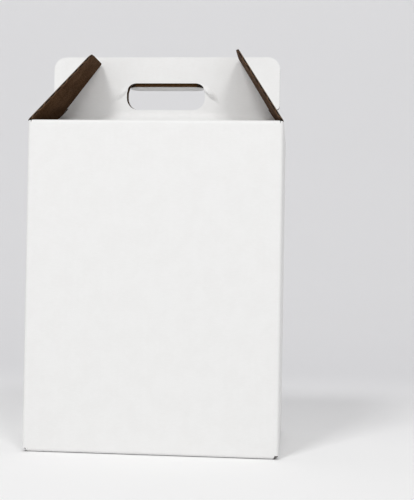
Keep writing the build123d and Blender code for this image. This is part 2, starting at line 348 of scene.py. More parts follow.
@dataclass
class Carton:
    """The die-cut sheet without its side flaps: walls, bottom flaps, roof panels, handle and glue tab.

    Attributes are sizes of the sheet; heights are above the floor unless they say otherwise.
    """

    width: float
    depth: float
    top: float
    wall: float
    leans: dict[Side, float]
    board: float = 0.003
    crease: float = 0.0036
    crush: float = 0.0008
    slit: float = 0.0003
    floor_room: float = 0.012
    panel_room: float = 0.006
    roof_pitch: float = math.radians(7)
    bend: float = 0.0155
    handle_gap: float = 0.0006
    handle_inset: float = 0.0066
    handle_corner: float = 0.014
    ear_foot: float = 0.025
    ear_corner: float = 0.004
    roof_clearance: float = 0.0007
    hand_width: float = 0.092
    hand_foot: float = 0.0242
    hand_top: float = 0.0555
    hand_corner: float = 0.014
    hand_top_corner: float = 0.011
    back_hole_slip: float = 0.0012
    back_hole_corner: float = 0.015
    strain_heights: tuple[float, float] = (0.0022, 0.0036)
    strain_drop: float = 0.0075
    strain_fall: float = 0.9
    strain_length: float = 0.0065
    strain_widths: tuple[float, float] = (0.00384, 0.00144)
    layer: float = 0.0033
    ramp: float = 0.014
    ramp_radius: float = 0.012
    relief: float = 0.0042
    taper: float = 0.014
    taper_run: float = 0.024
    tongue: float = 0.040
    front_edge: float = 0.010
    back_edge: float = 0.019
    notch_gap: float = 0.004
    notch_depth: float = 0.047
    tongue_overlap: float = 0.020
    floor_corner: float = 0.008
    side_relief: float = 0.006
    side_shoulder: float = 0.027
    side_tip: float = 0.038
    side_gap: float = 0.0155
    glue_width: float = 0.035
    glue_taper: float = 0.012
    glue_inset: float = 0.024
    raw_gap: float = 0.0002
    wall_step: float = 0.030
    panel_step: float = 0.009
    strain_step: float = 0.0012
    strain_loops: int = 22

    def __post_init__(self) -> None:
        """Works out the fold lines of the sheet's middle."""
        half = self.board / 2
        fold = self.crease - half
        x, y = self.width / 2 - half, self.depth / 2 - half
        raw = y + half - self.raw_gap
        glue = -self.width / 2 + 3 * half + self.raw_gap
        self.plan = FoldLine(
            [(-x, raw), (-x, -y), (x, -y), (x, y), (glue, y), (glue, y - self.glue_width)],
            [fold] * 4,
        )
        self.panel_foot = self.wall - self.panel_room
        handle = y - self.handle_gap / 2 - half
        rise = handle * math.tan(self.roof_pitch)
        roof = self.wall - half
        self.panel = FoldLine(
            [(0, self.panel_foot), (0, roof), (handle, roof + rise), (handle, self.top)],
            [fold, self.bend],
        )
        start = (0, self.floor_room)
        notch = y - self.notch_depth + self.back_edge
        self.notch_root = notch
        low, middle, high = (half + layers * self.layer for layers in (1, 2, 3))
        self.front_reach = y - self.front_edge
        self.tongue_root = 2 * y - notch
        self.floors = {
            Wall.FRONT: FoldLine(
                [
                    start,
                    (0, half),
                    (self.front_reach, half),
                    (self.tongue_root - self.board, high),
                    (self.tongue_root + self.tongue_overlap, high),
                ],
                [fold, self.ramp_radius, self.ramp_radius],
            ),
            Wall.BACK: FoldLine(
                [start, (0, half), (self.ramp, middle), (y + self.back_edge, middle)],
                [fold, self.ramp_radius],
            ),
        }
        side = FoldLine(
            [start, (0, half), (self.ramp, low), (x - self.tongue - self.side_gap, low)],
            [fold, self.ramp_radius],
        )
        self.floors[Wall.LEFT] = side
        self.floors[Wall.RIGHT] = side

    def middle(self, wall: Wall) -> float:
        """Flat first coordinate of the middle of a wall."""
        run = self.plan.runs[wall.value]
        return run.begins - run.start.dot(run.way)

    def fold_halves(self, wall: Wall) -> tuple[float, float]:
        """Straight fold of a wall, from its middle to each end.

        Args:
            wall: Which wall.

        Returns:
            Lengths to its first end and to its last end.
        """
        run = self.plan.runs[wall.value]
        before = self.middle(wall) - run.begins
        return before, run.length - before

    def flat_floor(self, wall: Wall, reach: float) -> float:
        """Flat height of a point on a bottom flap, by its distance inwards from the wall's middle layer."""
        return self.floor_room - self.floors[wall].length_to(0, reach)

    def flat_panel(self, height: float) -> float:
        """Flat height of a point on a handle panel that is at a height above the floor."""
        return self.panel_foot + self.panel.length_to(1, height)

    def floor_outline(self, wall: Wall) -> list[Corner]:
        """Outline of a wall's bottom flap.

        Args:
            wall: Which wall.

        Returns:
            Corners in the wall's own flat coordinates, from its first end to its last.
        """
        wide = self.width / 2 - self.relief
        narrow = wide - self.taper
        notch = self.tongue + self.notch_gap
        shoulder = self.taper_run - self.board / 2
        end = self.floors[wall].at(self.floors[wall].length)[0].x
        if wall is Wall.FRONT:
            reach = [
                (self.tongue - self.floor_corner, end),
                (self.tongue, self.tongue_root),
                (self.tongue, self.front_reach),
                (narrow, self.front_reach),
                (narrow, shoulder),
            ]
        elif wall is Wall.BACK:
            reach = [
                (notch, self.notch_root),
                (notch, end - self.floor_corner),
                (notch + self.floor_corner, end),
                (narrow, end),
                (narrow, shoulder),
            ]
        else:
            wide = self.depth / 2 - self.side_relief
            reach = [
                (self.side_tip, end),
                (self.depth / 2 - self.side_shoulder, self.ramp + self.board / 2),
            ]
        half = [(x, self.flat_floor(wall, inwards), 0) for x, inwards in reach]
        return mirrored(half + [(min(wide, *self.fold_halves(wall)), self.crease, 0)])

    def panel_half(self, fold: float, lean: float) -> list[Corner]:
        """Outline of half a handle panel, from its fold to its top, with the slit at the fold's end.

        Args:
            fold: Length of its fold from the middle.
            lean: Lean of the side flap that this end of the roof lies under.

        Returns:
            Corners of the half with positive first coordinates, in the wall's own flat coordinates.
        """
        slope = math.tan(lean)
        inset = (self.board + self.roof_clearance) / math.cos(lean)
        ear = self.width / 2 - self.handle_inset
        foot = self.flat_panel(self.wall + self.ear_foot)
        bend = self.panel.runs[PANEL_BEND]
        marks = [self.panel.runs[PANEL_ROOF].begins]
        marks += spaced(bend.begins, bend.length, ARC_STEPS) + [bend.begins + bend.length]
        half = [
            (fold + self.slit, self.wall - self.crush, 0),
            (fold, self.panel_foot + self.panel.runs[PANEL_CREASE].begins, 0),
        ]
        for mark in [mark for mark in marks if self.panel_foot + mark < foot - WELD]:
            end = self.width / 2 - inset - (self.panel.at(mark)[0].y - self.wall) * slope
            half.append((min(end, fold - self.slit), self.panel_foot + mark, 0))
        half.append((self.width / 2 - inset - self.ear_foot * slope, foot, 0))
        half.append((ear, foot, self.ear_corner))
        half.append((ear, self.panel_foot + self.panel.length, self.handle_corner))
        return half

    def panel_outline(self, wall: Wall) -> list[Corner]:
        """Outline of a handle panel.

        Args:
            wall: The wall that it folds from.

        Returns:
            Corners in the wall's own flat coordinates, from the negative end to the positive end.
        """
        sides = (Side.LEFT, Side.RIGHT) if wall is Wall.FRONT else (Side.RIGHT, Side.LEFT)
        ends = zip(self.fold_halves(wall), sides)
        before, after = (self.panel_half(fold, self.leans[side]) for fold, side in ends)
        return [(-x, y, radius) for x, y, radius in before] + after[::-1]

    def hand_hole(self, wall: Wall) -> list[Vector]:
        """Outline of the hand hole in a handle panel, which is higher in the back one.

        Args:
            wall: The wall that the panel folds from.

        Returns:
            Points in the sheet's flat coordinates.
        """
        front = wall is Wall.FRONT
        middle = self.middle(wall) - (0.0 if front else self.back_hole_slip)
        side = self.hand_width / 2
        low = self.flat_panel(self.wall + self.hand_foot)
        high = self.flat_panel(self.wall + self.hand_top + (0.0 if front else self.layer))
        corner = self.hand_top_corner if front else self.back_hole_corner
        return rounded([
            (middle - side, low, self.hand_corner),
            (middle + side, low, self.hand_corner),
            (middle + side, high, corner),
            (middle - side, high, corner),
        ])

    def outline(self) -> list[Vector]:
        """Outline of the flat sheet.

        Returns:
            Points in the sheet's flat coordinates, counter-clockwise.
        """
        corners: list[Corner] = [(0.0, self.crease, 0)]
        for wall in (Wall.LEFT, Wall.FRONT, Wall.RIGHT, Wall.BACK):
            corners += [(self.middle(wall) + x, y, radius) for x, y, radius in self.floor_outline(wall)]
        fold = self.plan.runs[GLUE_FOLD].begins
        corners += [
            (fold, self.crease, 0),
            (fold + self.crease, self.glue_inset, 0),
            (self.plan.length, self.glue_inset + self.glue_taper, 0),
            (self.plan.length, self.wall - self.glue_inset - self.glue_taper, 0),
            (fold + self.crease, self.wall - self.glue_inset, 0),
        ]
        for wall in (Wall.BACK, Wall.FRONT):
            top = [(self.middle(wall) + x, y, radius) for x, y, radius in self.panel_outline(wall)]
            corners += top[::-1]
        corners.append((0.0, self.wall - self.crush, 0))
        return rounded(corners)

    def loops(self) -> tuple[list[float], list[float]]:
        """Edge loops that the sheet needs.

        Returns:
            Flat places of the upright loops, then of the level ones.
        """
        upright = self.plan.stations(self.panel_step)
        level = [self.panel_foot + mark for mark in self.panel.stations(self.panel_step)]
        for step in range(self.strain_loops):
            aside = self.hand_width / 2 + step * self.strain_step
            upright += [self.middle(wall) + sign * aside for wall in PANEL_WALLS for sign in (-1, 1)]
            level.append(self.flat_panel(self.wall + self.hand_top - step * self.strain_step))
        for line in self.floors.values():
            level += [self.floor_room - mark for mark in line.stations(self.wall_step)]
        span = self.panel_foot - self.floor_room
        count = math.ceil(span / self.wall_step)
        return upright[1:-1], level + spaced(self.floor_room, span, count)

    def crumple(self, x: float, height: float) -> float:
        """Soft strain in the handle, where the board beside the hand hole has been pulled.

        Args:
            x: Distance from the middle of the carton.
            height: Height above the top creases.

        Returns:
            How far the board stands out there.
        """
        run = abs(x) - self.hand_width / 2
        aside = height - (self.hand_top - self.strain_drop - self.strain_fall * run)
        along = math.exp(-(((run - self.strain_length) / self.strain_length) ** 2))
        steep = self.strain_widths[aside < 0]
        return self.strain_heights[x > 0] * along * math.exp(-((aside / steep) ** 2))

    def fold(self, across: float, up: float) -> Vector:
        """Folded place of a flat point.

        Args:
            across: First flat coordinate.
            up: Second flat coordinate.

        Returns:
            The point in the middle of the folded board.
        """
        point, way = self.plan.at(across)
        inwards, height = 0.0, up
        wall = self.wall_at(across, up)
        if wall:
            run = self.plan.runs[wall.value]
            point, way = run.at(across - run.begins)
            if up < self.floor_room:
                inwards, height = self.floors[wall].at(self.floor_room - up)[0]
            else:
                inwards, height = self.panel.at(up - self.panel_foot)[0]
                inwards -= self.crumple(point.x, height - self.wall)
        point = point - Vector((way.y, -way.x)) * inwards
        return Vector((point.x, point.y, height))

    def wall_at(self, across: float, up: float) -> Optional[Wall]:
        """Finds the wall whose bottom flap or handle panel a flat point is on.

        Args:
            across: First flat coordinate.
            up: Second flat coordinate.

        Returns:
            The wall, or None for a point that stays upright.
        """
        if up > self.wall - self.crush + WELD:
            return min(PANEL_WALLS, key=lambda wall: abs(across - self.middle(wall)))
        if self.floor_room <= up <= self.panel_foot:
            return None
        for wall in Wall if up < self.floor_room else PANEL_WALLS:
            run = self.plan.runs[wall.value]
            if -WELD <= across - run.begins <= run.length + WELD:
                return wall
        return None

    def build(self, finishes: Finishes) -> bpy.types.Object:
        """Makes the folded carton.

        Args:
            finishes: Outer liner, inner liner and cut edge.

        Returns:
            The piece.
        """
        board = Board("carton_sheet", self.board, finishes)
        holes = [self.hand_hole(Wall.FRONT), self.hand_hole(Wall.BACK)]
        sheet = board.cut([self.outline(), *holes], *self.loops())
        return board.make(sheet, self.fold)


@dataclass
class HandTab:
    """A tab of the hand hole, pushed flat and still held by one liner.

    Attributes:
        name: Name of the piece.
        wall: The wall whose panel it is cut from.
        carton: The carton that it belongs to.
        reach: Length from its board's face.
        kerf: Hole to the side of the tab.
        groove: Opening of the cut score above it.
        liner: Thickness of the liner that holds it.
    """

    name: str
    wall: Wall
    carton: Carton
    reach: float = 0.029
    kerf: float = 0.002
    groove: float = 0.0012
    liner: float = 0.0008

    def build(self, finishes: Finishes) -> bpy.types.Object:
        """Makes the tab and its liner hinge.

        Args:
            finishes: Outer liner, inner liner and cut edge.

        Returns:
            The piece.
        """
        white, kraft, edge = finishes
        carton = self.carton
        front = self.wall is Wall.FRONT
        face = -1 if front else 1
        lift = 0.0 if front else carton.layer
        middle = carton.wall + carton.hand_top + lift - self.groove - carton.board / 2
        side = carton.hand_width / 2 - self.kerf
        outer = carton.handle_gap / 2 + carton.board
        start = -carton.handle_gap / 2 if front else outer - self.liner
        end = self.reach - outer if front else self.reach + outer
        hinge = face * (carton.handle_gap / 2 + self.liner / 2) if front else outer - self.liner / 2
        corners = [
            (-side, start, carton.hand_top_corner),
            (side, start, carton.hand_top_corner),
            (side, end, carton.hand_corner),
            (-side, end, carton.hand_corner),
        ]
        tab = Board(self.name, carton.board, finishes)
        sheet = tab.cut([rounded(corners)], [0.0], [end - carton.hand_corner])
        piece = tab.make(sheet, lambda x, y: Vector((face * x, y, middle)))
        strap = Board(self.name + "_liner", self.liner, (kraft if front else white, kraft, edge))
        width = side - carton.back_hole_corner / 2
        low = middle - carton.board / 4
        high = middle + carton.board / 2 + self.groove + carton.board
        strip = [Vector(p) for p in ((-width, low), (width, low), (width, high), (-width, high))]
        flat = strap.cut([strip], [0.0], [])
        held = strap.make(flat, lambda x, z: Vector((-face * x, hinge, z)))
        return joined(piece, held)


def joined(piece: bpy.types.Object, *others: bpy.types.Object) -> bpy.types.Object:
    """Merges pieces that share their finishes into one.

    Args:
        piece: The piece that stays.
        others: The pieces that go into it.

    Returns:
        The piece.
    """
    with bpy.context.temp_override(active_object=piece, selected_editable_objects=[piece, *others]):
        bpy.ops.object.join()
    return piece


@dataclass
class SideFlap:
    """A slotted flap that folds from the top of a side wall and slips over the handle.

    Attributes:
        name: Name of the piece.
        side: The side that it folds from.
        hinge: Fold line's distance from the middle and its height.
        lean: Angle of the flap from upright.
        board: Board thickness.
        start: Distance from the fold where the full board begins.
        length: Distance from the fold to the tip.
        base: Half of its width at the fold.
        tip: Half of its width at the tip.
        corner: Radius of the tip's corners.
        slot: Half of the slot's width.
        root: Distance from the fold to the slot's end.
        slot_end: Radius at the slot's end.
        mouth: Radius at the slot's mouth.
        loops: Edge loops in half of its width, and in its length.
    """

    name: str
    side: Side
    hinge: tuple[float, float]
    lean: float
    board: float = 0.003
    start: float = 0.003
    length: float = 0.1005
    base: float = 0.092
    tip: float = 0.057
    corner: float = 0.010
    slot: float = 0.005
    root: float = 0.0235
    slot_end: float = 0.0049
    mouth: float = 0.003
    loops: int = 6

    def __post_init__(self) -> None:
        """Works out the flap's own directions."""
        sign = self.side.value
        self.up = Vector((-sign * math.sin(self.lean), 0.0, math.cos(self.lean)))
        self.out = Vector((sign * math.cos(self.lean), 0.0, math.sin(self.lean)))
        self.along = self.up.cross(self.out)
        self.line = Vector((sign * self.hinge[0], 0.0, self.hinge[1]))

    def outline(self) -> list[Corner]:
        """Corners of the flat flap.

        Returns:
            Corners by place along the fold, distance from it and radius.
        """
        half = [
            (self.slot, self.root, self.slot_end),
            (self.slot, self.length, self.mouth),
            (self.tip, self.length, self.corner),
            (self.base, self.start, 0),
        ]
        return mirrored(half)[::-1]

    def place(self, across: float, reach: float) -> Vector:
        """Folded place of a flat point, in the middle of the board."""
        return self.line + self.along * across + self.up * reach - self.out * (self.board / 2)

    def build(self, finishes: Finishes) -> bpy.types.Object:
        """Makes the flap.

        Args:
            finishes: Outer liner, inner liner and cut edge.

        Returns:
            The piece.
        """
        board = Board(self.name, self.board, finishes)
        reach = spaced(self.start, self.length - self.start, self.loops)[1:]
        sheet = board.cut([rounded(self.outline())], spread(self.base, self.loops), reach)
        return board.make(sheet, self.place)


@dataclass
class FlapCrease:
    """The crushed board of the fold between a side wall and its flap.

    Attributes:
        name: Name of the piece.
        flap: The flap that it holds.
        board: Thickness of the crushed board.
        below: How far it goes down the wall.
        above: How far it goes up the flap.
        radius: Radius of its outer liner.
        inset: Its ends' distance from the flap's ends.
        sink: How far its liner lies below the wall's.
        loops: Edge loops in half of its width.
    """

    name: str
    flap: SideFlap
    board: float = 0.0010
    below: float = 0.0014
    above: float = 0.0036
    radius: float = 0.0012
    inset: float = 0.0003
    sink: float = 0.00005
    loops: int = 4

    def build(self, finishes: Finishes) -> bpy.types.Object:
        """Makes the strip, folded to the flap's lean at rest.

        Args:
            finishes: Outer liner, inner liner and cut edge.

        Returns:
            The piece.
        """
        flap = self.flap
        tip = (math.sin(flap.lean) * self.above, math.cos(flap.lean) * self.above)
        line = FoldLine([(0, -self.below), (0, 0), tip], [self.radius])
        half = flap.base - self.inset
        edge = [Vector(p) for p in ((-half, 0), (half, 0), (half, line.length), (-half, line.length))]
        board = Board(self.name, self.board, finishes, offset=-1)
        sheet = board.cut([edge], spread(half, self.loops), line.stations(self.above)[1:-1])

        def place(along: float, reach: float) -> Vector:
            """Folded place of a flat point on the outer liner.

            Args:
                along: Flat place along the fold.
                reach: Flat length across it.

            Returns:
                The folded place.
            """
            inwards, height = line.at(reach)[0]
            aside = -flap.side.value * (inwards + self.sink)
            return flap.line + flap.along * along + Vector((aside, 0.0, height))

        return board.make(sheet, place)

    def ends(self) -> tuple[Vector, Vector]:
        """Points at the strip's lower end on the wall and halfway up its reach on the flap."""
        return self.flap.line - Vector((0, 0, self.below)), self.flap.line + self.flap.up * (self.above / 2)


@dataclass
class Dividers:
    """The loose slotted sheets that make the six cells.

    Attributes:
        foot: Height that they stand at.
        height: Their height.
        length: Length of the long sheet.
        breadth: Length of each cross sheet.
        board: Board thickness.
        slot: Width of the slots.
        depth: Depth of the slots.
        column: Distance of the cross sheets from the middle.
    """

    foot: float
    height: float = 0.250
    length: float = 0.271
    breadth: float = 0.178
    board: float = 0.003
    slot: float = 0.0036
    depth: float = 0.126
    column: float = 0.0455

    def build_long(self, name: str, finishes: Finishes) -> bpy.types.Object:
        """Makes the long sheet, slotted from above.

        Args:
            name: Name of the piece.
            finishes: Outer liner, inner liner and cut edge.

        Returns:
            The piece.
        """
        end, gap = self.length / 2, self.slot / 2
        top = self.foot + self.height
        low = top - self.depth
        corners = [(-end, self.foot), (end, self.foot), (end, top)]
        for middle in (self.column, -self.column):
            corners += [(middle + gap, top), (middle + gap, low), (middle - gap, low), (middle - gap, top)]
        corners.append((-end, top))
        board = Board(name, self.board, finishes)
        sheet = board.cut([[Vector(corner) for corner in corners]], [0.0], [low])
        return board.make(sheet, lambda x, z: Vector((x, 0.0, z)))

    def build_cross(self, name: str, side: Side, finishes: Finishes) -> bpy.types.Object:
        """Makes a cross sheet, slotted from below.

        Args:
            name: Name of the piece.
            side: The side of the middle that it stands on.
            finishes: Outer liner, inner liner and cut edge.

        Returns:
            The piece.
        """
        end, gap = self.breadth / 2, self.slot / 2
        top, high = self.foot + self.height, self.foot + self.depth
        corners = [(-end, self.foot), (-gap, self.foot), (-gap, high), (gap, high), (gap, self.foot)]
        corners += [(end, self.foot), (end, top), (-end, top)]
        board = Board(name, self.board, finishes)
        sheet = board.cut([[Vector(corner) for corner in corners]], [], [high])
        return board.make(sheet, lambda y, z: Vector((side.value * self.column, side.value * y, z)))


class Graph:
    """Adds nodes to a node tree and joins them."""

    def __init__(self, tree: bpy.types.NodeTree) -> None:
        """Keeps the tree that the nodes go into."""
        self.tree = tree

    def node(self, kind: str, inputs: Optional[dict] = None, **settings: object) -> bpy.types.Node:
        """Adds a node.

        Args:
            kind: The node's type.
            inputs: Values or other nodes' sockets, by the name or number of the input.
            settings: The node's own properties.

        Returns:
            The node.
        """
        node = self.tree.nodes.new(kind)
        for name, value in settings.items():
            setattr(node, name, value)
        for name, value in (inputs or {}).items():
            if isinstance(value, bpy.types.NodeSocket):
                self.tree.links.new(value, node.inputs[name])
            else:
                node.inputs[name].default_value = value
        return node

    def math(self, operation: str, *values: object) -> bpy.types.NodeSocket:
        """Adds a Math node to numbers or sockets and gives its result."""
        return self.node("ShaderNodeMath", dict(enumerate(values)), operation=operation).outputs[0]

    def mix(self, share: object, first: object, second: object) -> bpy.types.NodeSocket:
        """Mixes two colours or sockets by how much of the second shows."""
        return self.node("ShaderNodeMix", {0: share, 6: first, 7: second}, data_type="RGBA").outputs[2]

    def ramp(
        self, value: object, low: float, high: float, start: float = 0.0, end: float = 1.0
    ) -> bpy.types.NodeSocket:
        """Maps a value smoothly from low and high to start and end."""
        inputs = {0: value, 1: low, 2: high, 3: start, 4: end}
        return self.node("ShaderNodeMapRange", inputs, interpolation_type="SMOOTHSTEP").outputs[0]

    def noise(self, place: object, scale: object, detail: float, rough: float) -> bpy.types.Node:
        """Adds a flat noise with its finer layers and their strength."""
        inputs = {"Vector": place, "Scale": scale, "Detail": detail, "Roughness": rough}
        return self.node("ShaderNodeTexNoise", inputs, noise_dimensions="2D")

    def shift(self, operation: str, first: object, second: object) -> bpy.types.NodeSocket:
        """Adds a Vector Math node to places or sockets and gives its result."""
        return self.node("ShaderNodeVectorMath", {0: first, 1: second}, operation=operation).outputs[0]

    def join(self, socket: bpy.types.NodeSocket, target: bpy.types.NodeSocket) -> None:
        """Links one node's output to another's input."""
        self.tree.links.new(socket, target)

    def group(self, tree: bpy.types.NodeTree, **values: float) -> bpy.types.Node:
        """Adds a node group that reads the piece's flat coordinates, with the material's own values."""
        flat = self.node("ShaderNodeUVMap", uv_map=FLAT_UV).outputs[0]
        return self.node("ShaderNodeGroup", {"Flat": flat, **values}, node_tree=tree)

    def surface(self, colour: object, rough: object, shine: float, height: object, bump: float) -> None:
        """Ends a material with its shader.

        Args:
            colour: Socket of the colour.
            rough: Socket of the roughness.
            shine: Specular level.
            height: Socket of the relief, in metres.
            bump: Strength of the relief.
        """
        normal = self.node("ShaderNodeBump", {"Strength": bump, "Distance": 1.0, "Height": height})
        inputs = {"Base Color": colour, "Roughness": rough, "Normal": normal.outputs[0]}
        shader = self.node("ShaderNodeBsdfPrincipled", {**inputs, "Specular IOR Level": shine})
        self.node("ShaderNodeOutputMaterial", {"Surface": shader.outputs[0]})


@dataclass
class BoardEffects:
    """Node groups that the board's finishes share.

    Attributes:
        pitch: Distance from flute to flute.
        fibre: Scale of the paper fibres.
        drawn: How the fibres are drawn out along the sheet.
        cloud: Scale of the cloudiness that they form.
        scuff: Scale of the scuffs.
        scuffed: How strong they are, unless a finish says.
        bend: Scale of the noise that bends the scuffs.
        bent: How far it bends them.
        fibre_span: Noise that gives no fibre and a full one.
        cloud_span: Noise that gives the deepest and the palest cloud.
        scuff_span: Noise that gives no scuff and a full one.
    """

    pitch: float = 0.0065
    fibre: float = 700.0
    drawn: Place = (0.22, 1.0, 1.0)
    cloud: float = 45.0
    scuff: float = 38.0
    scuffed: float = 0.25
    bend: float = 14.0
    bent: Place = (0.02, 0.02, 0.0)
    fibre_span: tuple[float, float] = (0.3, 0.7)
    cloud_span: tuple[float, float] = (0.32, 0.68)
    scuff_span: tuple[float, float] = (0.62, 0.78)

    def __post_init__(self) -> None:
        """Builds each group once."""
        self.flutes = self.make_flutes()
        self.fibres = self.make_fibres()
        self.scuffs = self.make_scuffs()

    @staticmethod
    def start(name: str, values: dict[str, float], *gives: str) -> tuple[Graph, Sockets, Sockets]:
        """Starts a node group that reads flat coordinates.

        Args:
            name: Name of the group.
            values: Its other inputs, each with its starting value.
            gives: Names of the value outputs.

        Returns:
            The group's graph, then the sockets of its inputs and of its outputs, by name.
        """
        tree = bpy.data.node_groups.new(name, "ShaderNodeTree")
        tree.interface.new_socket("Flat", in_out="INPUT", socket_type="NodeSocketVector")
        for label, value in values.items():
            socket = tree.interface.new_socket(label, in_out="INPUT", socket_type="NodeSocketFloat")
            socket.default_value = value
        for label in gives:
            tree.interface.new_socket(label, in_out="OUTPUT", socket_type="NodeSocketFloat")
        graph = Graph(tree)
        return graph, graph.node("NodeGroupInput").outputs, graph.node("NodeGroupOutput").inputs

    def make_flutes(self) -> bpy.types.NodeTree:
        """Wave of the fluted layer across the sheet.

        Returns:
            The node group.
        """
        graph, takes, gives = self.start("flute_wave", {"Pitch": self.pitch}, "Wave")
        across = graph.node("ShaderNodeSeparateXYZ", {0: takes["Flat"]}).outputs[0]
        turns = graph.math("DIVIDE", across, takes["Pitch"])
        wave = graph.math("SINE", graph.math("MULTIPLY", turns, 2 * math.pi))
        graph.join(graph.math("MULTIPLY_ADD", wave, 0.5, 0.5), gives["Wave"])
        return graph.tree

    def make_fibres(self) -> bpy.types.NodeTree:
        """Paper fibres drawn out along the sheet, with the cloudiness that they form.

        Returns:
            The node group.
        """
        scales = {"Scale": self.fibre, "Cloud": self.cloud}
        graph, takes, gives = self.start("paper_fibres", scales, "Fibre", "Cloud")
        drawn = graph.shift("MULTIPLY", takes["Flat"], self.drawn)
        fibre = graph.noise(drawn, takes["Scale"], 3.0, 0.65).outputs[0]
        cloud = graph.noise(takes["Flat"], takes["Cloud"], 4.0, 0.6).outputs[0]
        graph.join(graph.ramp(fibre, *self.fibre_span), gives["Fibre"])
        graph.join(graph.ramp(cloud, *self.cloud_span), gives["Cloud"])
        return graph.tree

    def make_scuffs(self) -> bpy.types.NodeTree:
        """Sparse short rubs and specks from handling.

        Returns:
            The node group.
        """
        values = {"Scale": self.scuff, "Amount": self.scuffed}
        graph, takes, gives = self.start("handling_scuffs", values, "Scuff")
        bend = graph.noise(takes["Flat"], self.bend, 2.0, 0.5).outputs["Color"]
        place = graph.shift("ADD", takes["Flat"], graph.shift("MULTIPLY", bend, self.bent))
        mark = graph.ramp(graph.noise(place, takes["Scale"], 6.0, 0.7).outputs[0], *self.scuff_span)
        graph.join(graph.math("MULTIPLY", mark, takes["Amount"]), gives["Scuff"])
        return graph.tree


def bare_material(name: str) -> tuple[bpy.types.Material, Graph]:
    """Starts a material with no nodes.

    Args:
        name: Name of the material.

    Returns:
        The material and its graph.
    """
    material = bpy.data.materials.new(name)
    material.use_nodes = True
    material.node_tree.nodes.clear()
    return material, Graph(material.node_tree)


@dataclass(frozen=True)
class LinerFinish:
    """A paper liner of the board.

    Attributes:
        name: Name of the material.
        pale: Its lightest colour.
        deep: Its darkest colour.
        rub: Colour of a scuff.
        fibre_share: How much the fibres change the colour.
        rough: Lowest and highest roughness.
        shine: Specular level.
        flute_height: How far the flutes print through.
        fibre_height: Relief of the fibres.
        scuffed: How strong the scuffs are.
    """

    name: str
    pale: Colour
    deep: Colour
    rub: Colour
    fibre_share: float
    rough: tuple[float, float]
    shine: float
    flute_height: float
    fibre_height: float
    scuffed: float

    def build(self, effects: BoardEffects) -> bpy.types.Material:
        """Makes the material.

        Args:
            effects: The shared node groups.

        Returns:
            The material.
        """
        material, graph = bare_material(self.name)
        fibres = graph.group(effects.fibres)
        flutes = graph.group(effects.flutes)
        scuffs = graph.group(effects.scuffs, Amount=self.scuffed)
        fibre, cloud = fibres.outputs["Fibre"], fibres.outputs["Cloud"]
        clouded = graph.math("MULTIPLY", cloud, 1 - self.fibre_share)
        shade = graph.math("MULTIPLY_ADD", fibre, self.fibre_share, clouded)
        colour = graph.mix(shade, self.deep, self.pale)
        colour = graph.mix(scuffs.outputs["Scuff"], colour, self.rub)
        rough = graph.ramp(shade, 0.0, 1.0, self.rough[1], self.rough[0])
        height = graph.math("MULTIPLY", flutes.outputs["Wave"], self.flute_height)
        height = graph.math("MULTIPLY_ADD", fibre, self.fibre_height, height)
        graph.surface(colour, rough, self.shine, height, 1.0)
        return material


@dataclass(frozen=True)
class EdgeFinish:
    """The cut edge of the board: two liners and the wave between them, coloured dark, partly the board's
    own edge colours and partly painted shade for edges that sit in slits and gaps.

    Attributes:
        name: Name of the material.
        outer: Colour of the outer liner's edge.
        inner: Colour of the inner liner's edge.
        medium: Colour of the fluted layer.
        flute_shade: Painted shade inside the flutes, near black, standing for the shadowed insides of the
            flutes.
        liner: Share of the thickness that each liner takes.
        line: Share of the thickness that the fluted layer takes.
        liner_fade: How far a liner's colour fades, as a multiple of its share.
        line_fade: How far the fluted layer's colour fades, as a multiple of its share.
        rough: Lowest and highest roughness.
        shine: Specular level.
        relief: Height of the fluted layer above the hollows.
        bump: Strength of that relief.
    """

    name: str
    outer: Colour
    inner: Colour
    medium: Colour
    flute_shade: Colour
    liner: float = 0.12
    line: float = 0.11
    liner_fade: float = 1.3
    line_fade: float = 1.7
    rough: tuple[float, float] = (0.7, 0.95)
    shine: float = 0.2
    relief: float = 0.0004
    bump: float = 0.6

    def build(self, effects: BoardEffects) -> bpy.types.Material:
        """Makes the material.

        Args:
            effects: The shared node groups.

        Returns:
            The material.
        """
        material, graph = bare_material(self.name)
        across = graph.node("ShaderNodeAttribute", attribute_name=ACROSS_VALUE).outputs["Fac"]
        flutes = graph.group(effects.flutes)
        fibres = graph.group(effects.fibres)
        crest = graph.math("MULTIPLY_ADD", flutes.outputs["Wave"], 1 - 2 * self.liner, self.liner)
        away = graph.math("ABSOLUTE", graph.math("SUBTRACT", across, crest))
        wave = graph.ramp(away, self.line, self.line * self.line_fade, 1.0, 0.0)
        faded = self.liner * self.liner_fade
        paper = graph.mix(fibres.outputs["Cloud"], self.medium, self.inner)
        # Off the fluted layer's wave, the edge takes the painted shade of the flutes' dark insides.
        colour = graph.mix(wave, self.flute_shade, paper)
        colour = graph.mix(graph.ramp(across, self.liner, faded, 1.0, 0.0), colour, self.outer)
        colour = graph.mix(graph.ramp(across, 1 - faded, 1 - self.liner), colour, self.inner)
        rough = graph.ramp(fibres.outputs["Fibre"], 0.0, 1.0, *self.rough)
        graph.surface(colour, rough, self.shine, graph.math("MULTIPLY", wave, self.relief), self.bump)
        return material


@dataclass(frozen=True)
class Softbox:
    """A soft square lamp.

    Attributes:
        name: Name of the lamp.
        place: Where it hangs.
        power: Its power in watts.
        target: What it points at.
        size: Length of its side.
    """

    name: str
    place: Place
    power: float
    target: Place = (0.0, -0.1, 0.2)
    size: float = 0.8

    def build(self) -> None:
        """Hangs the lamp."""
        data = bpy.data.lights.new(self.name, "AREA")
        data.size = self.size
        data.energy = self.power
        lamp = bpy.data.objects.new(self.name, data)
        lamp.location = self.place
        lamp.rotation_euler = (Vector(self.target) - Vector(self.place)).to_track_quat("-Z", "Y").to_euler()
        bpy.context.collection.objects.link(lamp)


SOFTBOXES = (
    Softbox("left_softbox", (-1.0, -2.6, 3.0), 46.0),
    Softbox("right_softbox", (1.2, -2.6, 3.0), 29.0),
)


